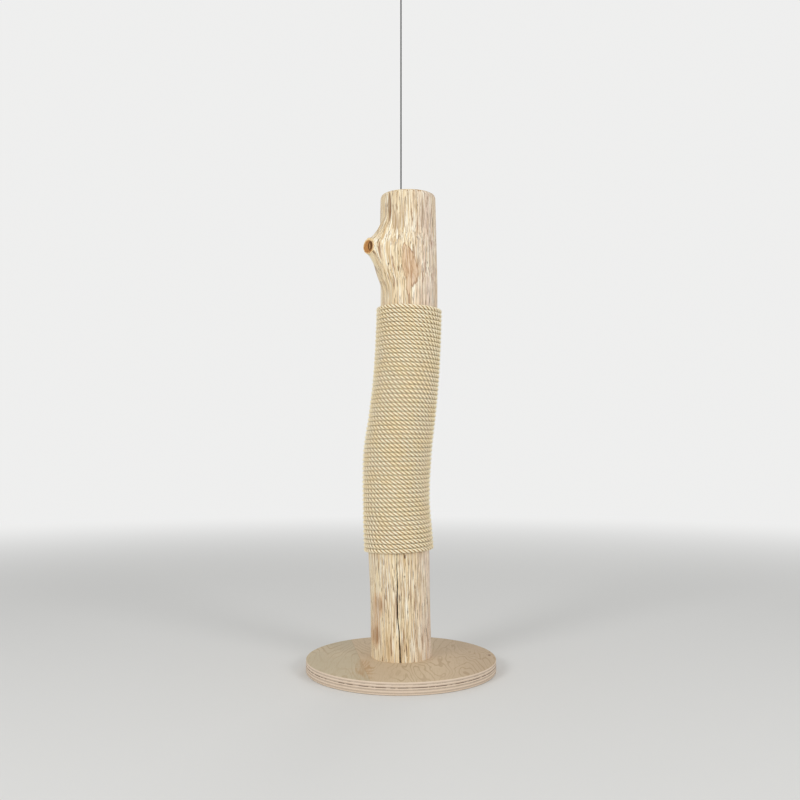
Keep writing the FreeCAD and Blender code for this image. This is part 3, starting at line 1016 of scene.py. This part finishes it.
        wander = drawn(26, 0.35, 3)
        broad = drawn(60, 0.05, 2, 0.5)
        streak = drawn(330, 0.03, 4)
        fine = drawn(600, 0.03, 3, 0.2)
        glint = drawn(400, 0.028, 3, 0.7)
        fleck = drawn(430, 0.07, 3, 0.3)
        hair = finish.away(drawn(240, 0.016, 2, 0.9), 0.5)
        tint = finish.mix(finish.span(broad, 0.38, 0.66), log.cream, log.sand)
        # painted light: the cooler light on the right side, painted as a pinkish tint that noise breaks up
        painted_side_light = finish.times(finish.span(x, 0.012, 0.062), finish.span(wander, 0.3, 0.55, 0.45, 0.95))
        tint = finish.layers(
            finish.mix(painted_side_light, tint, log.painted_side_light),
            (glint, 0.5, 0.6, 0, 1, log.pale),
            (streak, 0.51, 0.63, 0, 0.8, log.tan),
            (fine, 0.52, 0.68, 0, 0.6, log.tan),
            (hair, 0.006, 0.022, 0.7, 0, log.brown),
            (fleck, 0.6, 0.66, 0, 0.9, log.brown))
        ragged = finish.span(streak, 0.3, 0.7, -0.4, 0.4)
        drawn_share = finish.span(glint, 0.42, 0.58, 1.0, 0.35)
        place = self.warped(finish, 0.012, 45)
        for centre, half_width, half_height, shade, share in self.marks:
            spot = finish.spot(centre, (half_width, self.mark_depth, half_height), place)
            edge = finish.times(finish.span(spot, 0, 0.25), finish.maths("ADD", ragged, spot))
            edge = finish.times(finish.span(edge, 0.05, 0.45, 0, share), drawn_share)
            tint = finish.mix(edge, tint, srgb(*shade) if shade else log.patch)
        tint = self.flame(finish, log, tint, streak)
        tint = self.end_grain(finish, tint, z)
        tint = self.sawn_knot(finish, log, tint)
        rough = finish.span(streak, 0.3, 0.7, 0.55, 0.75)
        finish.set(Base_Color=tint, Roughness=rough, Specular_IOR_Level=0.3)
        finish.bump(streak, 0.0005, 0.35)
        return finish.material

    def warped(self, finish, amount, scale):
        """The place, pushed about more slowly up the log than across it."""
        return finish.pushed((amount,) * 3, scale, finish.stretch((1, 1, 0.4)))

    def flame(self, finish, log, tint, streak):
        """Pointed scar with a darker outline, right of the middle under the top."""
        place = self.warped(finish, 0.016, 70)
        inside = 0.0
        for x, z, half_width, half_height in self.flame_ovals:
            halves = (half_width, self.mark_depth, half_height)
            oval = finish.spot((x, self.flame_depth, z), halves, place)
            inside = finish.maths("MAXIMUM", inside, oval)
        inside = finish.maths("ADD", inside, finish.span(streak, 0.3, 0.7, 0.08, -0.16))
        tint = finish.layers(tint, (inside, 0, 0.22, 0, 0.6, log.patch))
        rim = finish.times(finish.span(inside, 0, 0.07), finish.span(inside, 0.12, 0.24, 1, 0))
        tint = finish.mix(finish.times(rim, 0.75), tint, srgb(158, 114, 78))
        veins = finish.times(finish.span(inside, 0.1, 0.3), finish.span(streak, 0.48, 0.62))
        return finish.mix(finish.times(veins, 0.6), tint, srgb(172, 128, 94))

    def end_grain(self, finish, tint, z):
        """Growth rings, a darker heart and pores on the level sawn ends."""
        middle = smooth_section(log_top)[0]
        ring_spacing = 0.0034
        offset = finish.vector("SUBTRACT", self.warped(finish, 0.01, 20), (middle.x, middle.y, 0))
        distance = finish.length(finish.vector("MULTIPLY", offset, (1, 1, 0)))
        ring = finish.waves(distance, 1 / ring_spacing)
        pores = finish.noise(finish.place, 900, 2)
        wood = finish.layers(
            srgb(226, 206, 170),
            (ring, -0.2, 0.95, 0, 1, srgb(198, 170, 128)),
            (distance, 0.012, 0.036, 0.45, 0, srgb(176, 136, 96)),
            (pores, 0.58, 0.7, 0, 0.5, srgb(150, 118, 84)))
        upper = finish.span(z, log_top - 0.0012, log_top - 0.0004)
        lower = finish.span(z, log_foot + 0.0001, log_foot + 0.0004, 1, 0)
        return finish.mix(finish.maths("MAXIMUM", upper, lower), tint, wood)

    def sawn_knot(self, finish, log, tint):
        """Orange-brown face of the sawn branch: fine checks, a dark heart with a pale ray and a pale rim."""
        normal = heading(log.cut_turn)
        middle = smooth_section(log.branch_height)[0]
        centre = middle + heading(log.branch_turn) * log.branch_reach + UP * self.collar[4][1]
        offset = finish.vector("SUBTRACT", finish.place, centre)
        depth, u, w = [finish.vector("DOT_PRODUCT", offset, way, "Value")
                       for way in (normal, UP.cross(normal), UP)]
        flat = finish.add("ShaderNodeCombineXYZ", {0: u, 1: w, 2: 0.0})
        rough = finish.noise(flat, 420, 3)
        check = finish.noise(finish.stretch((1, 0.25, 1), flat), 900, 2)

        def oval(shift_u, shift_w, half_u, half_w):
            """Distance from the middle of an oval on the face, 1 at its ragged edge."""
            shifted = finish.vector("SUBTRACT", flat, (shift_u, shift_w, 0))
            reach = finish.length(finish.vector("DIVIDE", shifted, (half_u, half_w, 1)))
            return finish.maths("ADD", reach, finish.span(rough, 0.2, 0.8, -0.18, 0.18))

        wood = finish.layers(
            log.knot,
            (check, 0.45, 0.65, 0, 1, srgb(150, 96, 44)),
            (oval(0.0055, 0, 0.0072, 0.0115), 0.7, 1.1, 1, 0, log.core),
            (oval(0.0042, -0.001, 0.0013, 0.0085), 0.5, 1.1, 0.85, 0, srgb(236, 186, 118)),
            (oval(0, -0.0012, 0.0140, 0.0138), 0.9, 1.14, 0, 1, srgb(238, 210, 162)))
        return finish.mix(finish.span(depth, -0.0009, -0.0005), tint, wood)


# ---------------- turned and copied pieces

def lathe(name, profile, segments=64, place=(0, 0, 0)):
    """Closed round piece about an upright axis, from the (radius, height) points of its outline."""
    deselect_all()
    radius, height = profile[0]
    bpy.ops.mesh.primitive_circle_add(vertices=segments, radius=radius, fill_type="NGON",
                                      location=(0, 0, height))
    piece = bpy.context.object
    piece.name = name
    settle(piece)
    with editing(piece):
        for next_radius, next_height in profile[1:]:
            bpy.ops.mesh.extrude_region_move(TRANSFORM_OT_translate={"value": (0, 0, next_height - height)})
            ratio = next_radius / radius
            bpy.ops.transform.resize(value=(ratio, ratio, 1), center_override=(0, 0, next_height))
            radius, height = next_radius, next_height
        turn_outwards()
    piece.location = place
    settle(piece)
    return piece


def thread(radius, depth, pitch, low, high):
    """Helical ridge of triangular section round the Z axis."""
    deselect_all()
    bpy.ops.mesh.primitive_circle_add(vertices=3, radius=depth, location=(radius, 0, low),
                                      rotation=(math.radians(90), 0, 0))
    ridge = bpy.context.object
    settle(ridge)
    screw = ridge.modifiers.new("screw", "SCREW")
    screw.axis = "Z"
    screw.screw_offset = pitch
    screw.iterations = int((high - low) / pitch)
    screw.steps = 20
    screw.render_steps = 20
    screw.use_merge_vertices = False
    apply_modifiers(ridge)
    middle = (low + high) / 2
    with editing(ridge):
        for way in (1, -1):
            select_parts(ridge, "EDGE", lambda e: e.is_boundary and (middle - e.verts[0].co.z) * way > 0)
            bpy.ops.mesh.edge_face_add()
        turn_outwards()
    return ridge


def join(piece, *others):
    make_active(piece)
    for other in others:
        other.select_set(True)
    bpy.ops.object.join()
    return piece


def array(piece, places):
    """The piece at the first place and copies of it, with meshes of their own, at the others, as one."""
    copies = []
    for place in places[1:]:
        make_active(piece)
        bpy.ops.object.duplicate(linked=False)
        copy = bpy.context.object
        copy.location = place
        settle(copy)
        copies.append(copy)
    piece.location = places[0]
    settle(piece)
    return join(piece, *copies)


def round_places(centre, radius, count, first=90):
    """Points spaced evenly on a level circle."""
    bearings = [math.radians(first + 360 * i / count) for i in range(count)]
    return [Vector(centre) + Vector((math.cos(b), math.sin(b), 0)) * radius for b in bearings]


def middle_of(node):
    low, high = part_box(node)
    return (low + high) / 2


def merged_copy(node, name, finish):
    """A smooth-shaded copy of a CAD node's mesh, with its loose triangles merged."""
    mesh = nodes[node].data.copy()
    mesh.materials.clear()
    piece = add_object(name, mesh)
    with editing(piece):
        bpy.ops.mesh.remove_doubles(threshold=0.000002)
        turn_outwards()
    smooth(piece)
    finish_piece(piece, name, [node], [finish])


def metal(name, tint, rough=0.35, scratch=260):
    """Bright metal with cloudy roughness and faint marks."""
    finish = Finish(name)
    cloud = finish.noise(finish.place, scratch, 4, 0.6)
    fine = finish.noise(finish.place, scratch * 8, 2)
    dark = [c * 0.78 for c in tint]
    finish.set(Base_Color=finish.layers(tint, (cloud, 0.35, 0.7, 0, 1, dark)), Metallic=1.0,
               Roughness=finish.span(cloud, 0.25, 0.75, rough - 0.08, rough + 0.14))
    finish.bump(fine, 0.00004, 0.4)
    return finish.material


def drill(piece, profile, place, segments=48):
    """Cuts a round hole, given by the (radius, height) points of its outline."""
    combine(piece, lathe("tool", profile, segments, place), "DIFFERENCE")


def cut_cross(screw, level, width, depth):
    """Cuts a cross recess for a driver into a head, across its flat face at a level."""
    bars = []
    for turn in (0, 90):
        deselect_all()
        bpy.ops.mesh.primitive_cube_add(size=1, location=(0, 0, level), rotation=(0, 0, math.radians(turn)),
                                        scale=(width, width * 0.24, 2 * depth))
        settle(bpy.context.object)
        bars.append(bpy.context.object)
    combine(bars[0], bars[1], "UNION")
    combine(screw, bars[0], "DIFFERENCE")


# ---------------- base

class POST_OT_base(Operator):
    """Cuts the round plywood base with its counterbore and countersunk holes"""
    bl_idname = "post.add_base"
    bl_label = "Plywood base"

    counterbore_radius = 0.0155
    counterbore_depth = 0.011
    bolt_hole_radius = 0.0051
    screw_hole_radius = 0.0031
    countersink_radius = 0.006
    countersink_start = 0.001
    countersink_end = 0.0039
    past = 0.002
    # how far the joint between two sheets of veneer is turned from the depth axis, as cosine and sine
    joint_heading = (0.9875, 0.158)
    # height, half height and strength of the darker glue lines, and the noise at which their dashes start
    open_lines = ((0.0142, 0.0009, 1.0, 0.42), (0.0196, 0.0006, 0.55, 0.5), (0.0108, 0.0006, 0.4, 0.5))

    def execute(self, context):
        base = context.scene.post_base
        edge = base.edge_round
        chamfer = edge * 0.3
        piece = lathe("plywood_base", [
            (base_radius - edge, 0),
            (base_radius - chamfer, chamfer),
            (base_radius, edge),
            (base_radius, base_thickness - edge),
            (base_radius - chamfer, base_thickness - chamfer),
            (base_radius - edge, base_thickness),
        ], 288)
        foot = middle_of("centre_bolt")
        foot.z = 0
        above = base_thickness + self.past
        bore = self.counterbore_radius
        drill(piece, [(bore, -self.past), (bore, self.counterbore_depth)], foot, 64)
        drill(piece, [(self.bolt_hole_radius, 0), (self.bolt_hole_radius, above)], foot)
        for place in round_places(foot, base.screw_circle / 2, 3):
            drill(piece, [
                (self.countersink_radius, -self.past),
                (self.countersink_radius, self.countersink_start),
                (self.screw_hole_radius, self.countersink_end),
                (self.screw_hole_radius, above),
            ], place)
        smooth(piece, 30)
        finish_piece(piece, "plywood_base", ["base_plate"], [self.plywood(base)])
        return {"FINISHED"}

    def plywood(self, base):
        """Rotary-cut veneer above and below, and light and dark plies round the edge."""
        finish = Finish("birch_plywood")
        x, y, z = finish.axes()
        top = self.veneer_face(finish, base, x, y)
        edge = self.edge_plies(finish, base, z)
        low, high = base.edge_round * 0.3, base.edge_round * 0.6
        rim = finish.span(z, base_thickness - high, base_thickness - low)
        sole = finish.span(z, low, high, 1, 0)
        grain = finish.grain((0.12, 1, 1), 420, 3)
        finish.set(Base_Color=finish.mix(finish.maths("MAXIMUM", rim, sole), edge, top),
                   Specular_IOR_Level=0.25, Roughness=finish.span(grain, 0.3, 0.7, 0.6, 0.78))
        finish.bump(grain, 0.0003, 0.25)
        return finish.material

    def veneer_face(self, finish, base, x, y):
        """Wandering growth lines, fine pores, a joint between two sheets, a brown mark, a pin knot and
        painted shade towards the right.
        """
        pores = finish.grain((1, 0.06, 1), 620, 3, 0.6)
        cloud = finish.noise(finish.place, 9, 3)
        cosine, sine = self.joint_heading
        place = finish.maths("ADD", finish.times(x, cosine), finish.times(y, sine))
        joint = finish.span(place, -0.0885, -0.0880)
        swirl = finish.noise(finish.stretch((1.2, 0.34, 0), turn=-24), 8, 3.4, 0.44, 0.3)
        sweep = finish.noise(finish.stretch((1, 0.16, 0), turn=-38), 12, 2.4, 0.4, 0.2)
        contour = finish.waves(finish.add("ShaderNodeMix", {0: joint, 2: sweep, 3: swirl}), 26)
        faint = finish.span(cloud, 0.35, 0.65, 0.1, 0.5)
        tint = finish.layers(
            finish.mix(joint, base.grey, base.veneer),
            (cloud, 0.35, 0.7, 0, 0.4, srgb(214, 195, 165)),
            # painted shade: darker towards the right side, where less light falls
            (x, 0.04, 0.17, 0, 0.75, srgb(186, 164, 137)))
        tint = finish.mix(finish.times(finish.span(contour, 0.55, 1), faint), tint, base.figure)
        mark = finish.spot((-0.074, -0.105, 0.025), (0.026, 0.098, 0.05), finish.pushed((0.045, 0.06, 0), 22))
        flow = finish.times(mark, finish.span(contour, -0.8, 0.8, 0.6, 1.4))
        flow = finish.times(flow, finish.span(pores, 0.35, 0.65, 0.6, 1.3))
        pin = finish.spot((0.1885, 0.0134, 0.025), (0.004, 0.006, 0.02))
        tint = finish.layers(
            tint,
            (pores, 0.5, 0.72, 0, 0.4, srgb(176, 152, 118)),
            (flow, 0.02, 0.8, 0, 0.55, base.scar),
            (pin, 0.1, 0.5, 0, 1, srgb(112, 78, 50)))
        line = finish.times(joint, finish.span(place, -0.0880, -0.0874, 1, 0))
        return finish.mix(finish.times(line, 0.5), tint, srgb(140, 116, 88))

    def edge_plies(self, finish, base, z):
        """Long-grain and end-grain plies in turn, with glue lines, three of them darker in dashes."""
        level = finish.times(z, base.plies / base_thickness)
        odd = finish.maths("MODULO", finish.maths("FLOOR", level), 2.0)
        along = finish.grain((1, 1, 14), 60, 3, 0.6)
        dots = finish.grain((1, 1, 2), 900, 2)
        light = finish.mix(finish.span(along, 0.4, 0.7), base.ply, srgb(224, 204, 180))
        dark = finish.mix(finish.span(dots, 0.45, 0.65), base.end_ply, srgb(192, 170, 146))
        glue = finish.span(finish.away(finish.maths("FRACT", level), 0.5), 0.455, 0.485)
        tint = finish.mix(finish.times(glue, 0.3), finish.mix(odd, light, dark), base.glue)
        gaps = finish.grain((1, 1, 0.1), 75, 2)
        for height, half, share, low in self.open_lines:
            band = finish.span(finish.away(z, height), half * 0.5, half, 1, 0)
            dash = finish.times(band, finish.span(gaps, low, low + 0.08, 0.3, 1))
            tint = finish.mix(finish.times(dash, share), tint, srgb(96, 72, 54))
        return tint


# ---------------- fixings

class POST_OT_fixings(Operator):
    """Makes the lag bolt, its washer, the screws under the base and the nails in the rope"""
    bl_idname = "post.add_fixings"
    bl_label = "Bolt, screws and nails"

    head_height = 0.0064
    head_half_flats = 0.0085
    chamfer_radius = 0.0079
    chamfer_height = 0.0013
    past_corners = 0.0101
    shank_radius = 0.005
    shank_length = 0.034
    core_radius = 0.0042
    point_length = 0.009
    screw_head_radius = 0.006
    screw_shank_radius = 0.0029
    screw_core_radius = 0.0022
    screw_point_start = 0.062

    def execute(self, context):
        tones = context.scene.post_metal
        zinc = metal("zinc_plate", tones.zinc)
        self.add_bolt(zinc)
        self.add_base_screws(zinc, context.scene.post_base.screw_circle / 2)
        merged_copy("centre_washer", "steel_washer", zinc)
        merged_copy("rope_nails", "clout_nails", metal("nail_steel", tones.nail, 0.45, 400))
        return {"FINISHED"}

    def add_bolt(self, finish):
        """Hexagon head with a turned chamfer, a round shank and a coarse wood thread to the point."""
        low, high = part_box("centre_bolt")
        place = middle_of("centre_bolt")
        seat = low.z + self.head_height
        point = high.z - self.point_length
        deselect_all()
        bpy.ops.mesh.primitive_cylinder_add(
            vertices=6, radius=self.head_half_flats / math.cos(math.radians(30)), depth=self.head_height,
            location=(0, 0, seat - self.head_height / 2), rotation=(0, 0, math.radians(30)))
        head = bpy.context.object
        settle(head)
        chamfer = lathe("tool", [
            (self.chamfer_radius, low.z),
            (self.past_corners, low.z + self.chamfer_height),
            (self.past_corners, seat),
        ])
        combine(head, chamfer, "INTERSECT")
        shank = lathe("shank", [
            (self.shank_radius, seat - 0.0002),
            (self.shank_radius, seat + self.shank_length),
            (self.core_radius, seat + self.shank_length + 0.0015),
            (self.core_radius, point),
            (0.0003, high.z),
        ], 40)
        ridge = thread(radius=0.0043, depth=0.0007, pitch=0.0045, low=seat + 0.036, high=point)
        bolt = join(head, shank, ridge)
        bolt.location = (place.x, place.y, 0)
        settle(bolt)
        smooth(bolt)
        finish_piece(bolt, "lag_bolt", ["centre_bolt"], [finish])

    def add_base_screws(self, finish, circle):
        """Countersunk heads with a cross recess, and a coarse thread."""
        low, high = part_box("base_screws")
        body = lathe("screw", [
            (0.0058, 0),
            (self.screw_head_radius, 0.0003),
            (0.003, 0.0033),
            (self.screw_shank_radius, 0.020),
            (self.screw_core_radius, 0.021),
            (self.screw_core_radius, self.screw_point_start),
            (0.0002, high.z - low.z),
        ], 40)
        cut_cross(body, level=0, width=0.0058, depth=0.0026)
        ridge = thread(radius=0.0023, depth=0.0006, pitch=0.003, low=0.0212, high=self.screw_point_start)
        screw = join(body, ridge)
        foot = middle_of("centre_bolt")
        screws = array(screw, round_places((foot.x, foot.y, low.z), circle, 3))
        smooth(screws)
        finish_piece(screws, "countersunk_screws", ["base_screws"], [finish])


class POST_OT_ends(Operator):
    """Makes the cable's plate and stop on the log and its eye, hook and plate at the ceiling"""
    bl_idname = "post.add_ends"
    bl_label = "Cable ends"

    ceiling_pieces = {"ceiling_hook": "open_hook", "ceiling_rose": "ceiling_plate",
                      "eye_terminal": "swaged_eye"}
    waists = 3
    waist_share = 0.86
    screw_circle_radius = 0.013
    screw_core_radius = 0.0013
    screw_point = 0.004

    def execute(self, context):
        tones = context.scene.post_metal
        steel = metal("bright_steel", tones.steel, 0.26)
        zinc = metal("zinc_fittings", tones.zinc, 0.36)
        merged_copy("anchor_plate", "plate_on_log", zinc)
        for node, name in self.ceiling_pieces.items():
            merged_copy(node, name, steel)
        self.add_stop(metal("crimped_sleeve", tones.aluminium, 0.42))
        self.add_plate_screws(zinc)
        return {"FINISHED"}

    def add_stop(self, finish):
        """Crimped sleeve with pressed waists."""
        low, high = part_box("cable_stop")
        middle = middle_of("cable_stop")
        radius = (high.x - low.x) / 2
        pressed = radius * self.waist_share
        edge = 0.001
        room = high.z - low.z - 0.0012
        width = room / (2 * self.waists)
        outline = [(radius - edge, low.z), (radius, low.z + edge)]
        for waist in range(self.waists):
            start = low.z + edge + room * (waist + 0.25) / self.waists
            outline += [(radius, start), (pressed, start + width * 0.35), (pressed, start + width * 0.65),
                        (radius, start + width)]
        outline.append((radius, high.z))
        stop = lathe("stop", outline, 48, (middle.x, middle.y, 0))
        smooth(stop)
        finish_piece(stop, "crimped_stop", ["cable_stop"], [finish])

    def add_plate_screws(self, finish):
        """Small countersunk screws, points downwards."""
        low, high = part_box("anchor_screws")
        length = high.z - low.z
        core = self.screw_core_radius
        body = lathe("screw", [
            (0.0001, 0),
            (core, self.screw_point),
            (core, length - 0.0019),
            (0.0034, length - 0.0002),
            (0.0035, length),
        ], 32)
        cut_cross(body, level=length, width=0.0036, depth=0.0014)
        ridge = thread(radius=core, depth=0.00042, pitch=0.0015, low=self.screw_point, high=length - 0.004)
        screw = join(body, ridge)
        middle = middle_of("anchor_plate")
        screws = array(screw, round_places((middle.x, middle.y, low.z), self.screw_circle_radius, 3))
        smooth(screws)
        finish_piece(screws, "plate_screws", ["anchor_screws"], [finish])


# ---------------- panel and registration

class POST_PT_panel(Panel):
    """Lists the steps that build the scratching post"""
    bl_idname = "POST_PT_panel"
    bl_label = "Scratching post"
    bl_space_type = "VIEW_3D"
    bl_region_type = "UI"
    bl_category = "Scratching post"

    def draw(self, context):
        for operator in OPERATORS:
            self.layout.operator(operator.bl_idname)


SETTINGS = {
    "post_stage": StageSettings,
    "post_cable": CableSettings,
    "post_rope": RopeSettings,
    "post_log": LogSettings,
    "post_base": BaseSettings,
    "post_metal": MetalSettings,
}
OPERATORS = (POST_OT_stage, POST_OT_cable, POST_OT_rope, POST_OT_log, POST_OT_base, POST_OT_fixings,
             POST_OT_ends)


def register():
    for cls in (*SETTINGS.values(), *OPERATORS, POST_PT_panel):
        bpy.utils.register_class(cls)
    for name, settings in SETTINGS.items():
        setattr(bpy.types.Scene, name, PointerProperty(type=settings))


def unregister():
    for name in SETTINGS:
        delattr(bpy.types.Scene, name)
    for cls in (POST_PT_panel, *reversed(OPERATORS), *SETTINGS.values()):
        bpy.utils.unregister_class(cls)


def main():
    register()
    bpy.ops.post.set_stage()
    bpy.ops.post.add_cable()
    bpy.ops.post.add_log()
    bpy.ops.post.add_rope()
    bpy.ops.post.add_base()
    bpy.ops.post.add_fixings()


if __name__ == "__main__":
    main()
